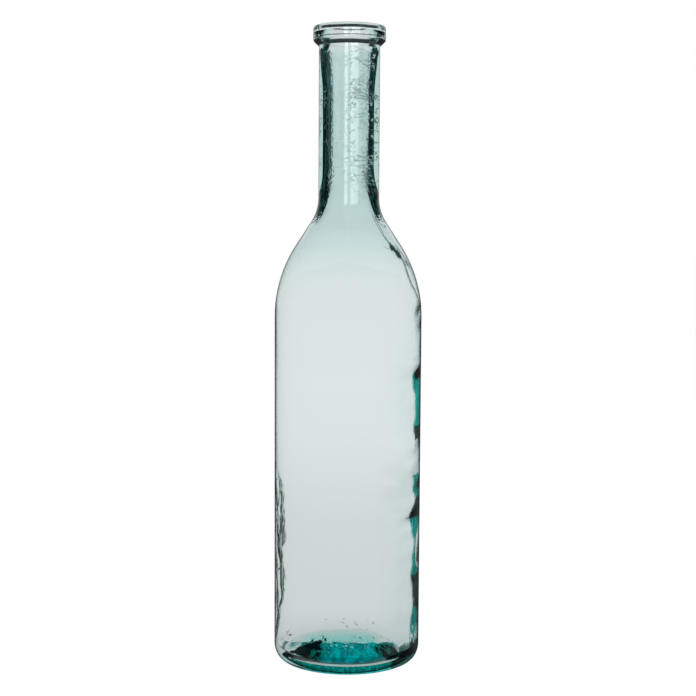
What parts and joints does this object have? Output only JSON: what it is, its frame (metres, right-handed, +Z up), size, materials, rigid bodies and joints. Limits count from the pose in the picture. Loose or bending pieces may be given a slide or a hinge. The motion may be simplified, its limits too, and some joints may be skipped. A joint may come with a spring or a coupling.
{
  "type": "bottle vase",
  "caption": "Tall bottle vase of pale green recycled glass: straight wall, rounded shoulder, thick-walled neck, banded lip and thick domed foot.",
  "frame": {"origin": "centre of the ring that the vase stands on, at table height", "axes": "+Z up along the vase's axis; +X to the right and +Y away from the viewer of the picture, so the thick, deep teal side of the wall is on +X"},
  "size_m": [0.1742, 0.174, 0.75],
  "materials": {
    "body_glass": "clear pale aqua-green recycled glass, glossy, uneven inside, deep teal where it is thick",
    "lip_glass": "clear, nearly colourless glass, fire polished"
  },
  "bodies": {
    "root": {"bottle_body": "body_glass", "lip_ring": "lip_glass"}
  },
  "joints": []
}
